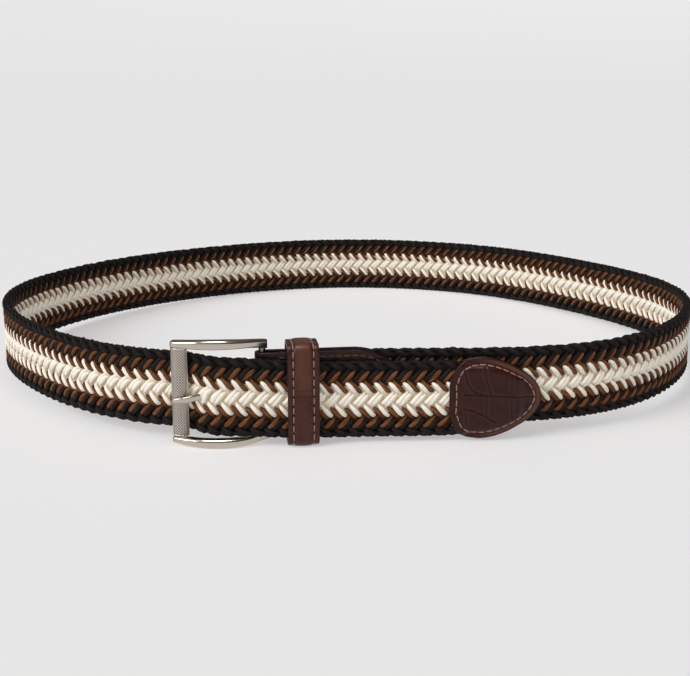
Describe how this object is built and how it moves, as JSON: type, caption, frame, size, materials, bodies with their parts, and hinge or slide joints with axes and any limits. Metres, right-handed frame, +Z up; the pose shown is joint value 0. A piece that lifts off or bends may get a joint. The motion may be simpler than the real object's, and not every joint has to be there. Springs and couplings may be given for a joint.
{
  "type": "braided belt",
  "caption": "Striped braided cord belt with leather ends and keeper, fastened by a bowed pin buckle with a knurled bar, standing on edge in a loop.",
  "frame": {"origin": "on the floor under the middle of the fastened belt's box", "axes": "+Z up across the strap's width, -Y towards the buckle side, +X from the buckle towards the leather tip"},
  "size_m": [0.384, 0.3544, 0.0501],
  "materials": {
    "braid": "matte braided cord in black, brown and cream rows",
    "leather": "waxed dark red-brown leather, embossed on the tip",
    "nickel": "polished nickel plate",
    "knurled_nickel": "nickel plate over a fine knurl"
  },
  "bodies": {
    "root": {"braided_strap": "braid", "tip_leather": "leather", "tab_leather": "leather", "keeper_loop": "leather", "buckle_frame": "nickel", "knurled_bar": "knurled_nickel", "prong": "nickel"}
  },
  "joints": []
}
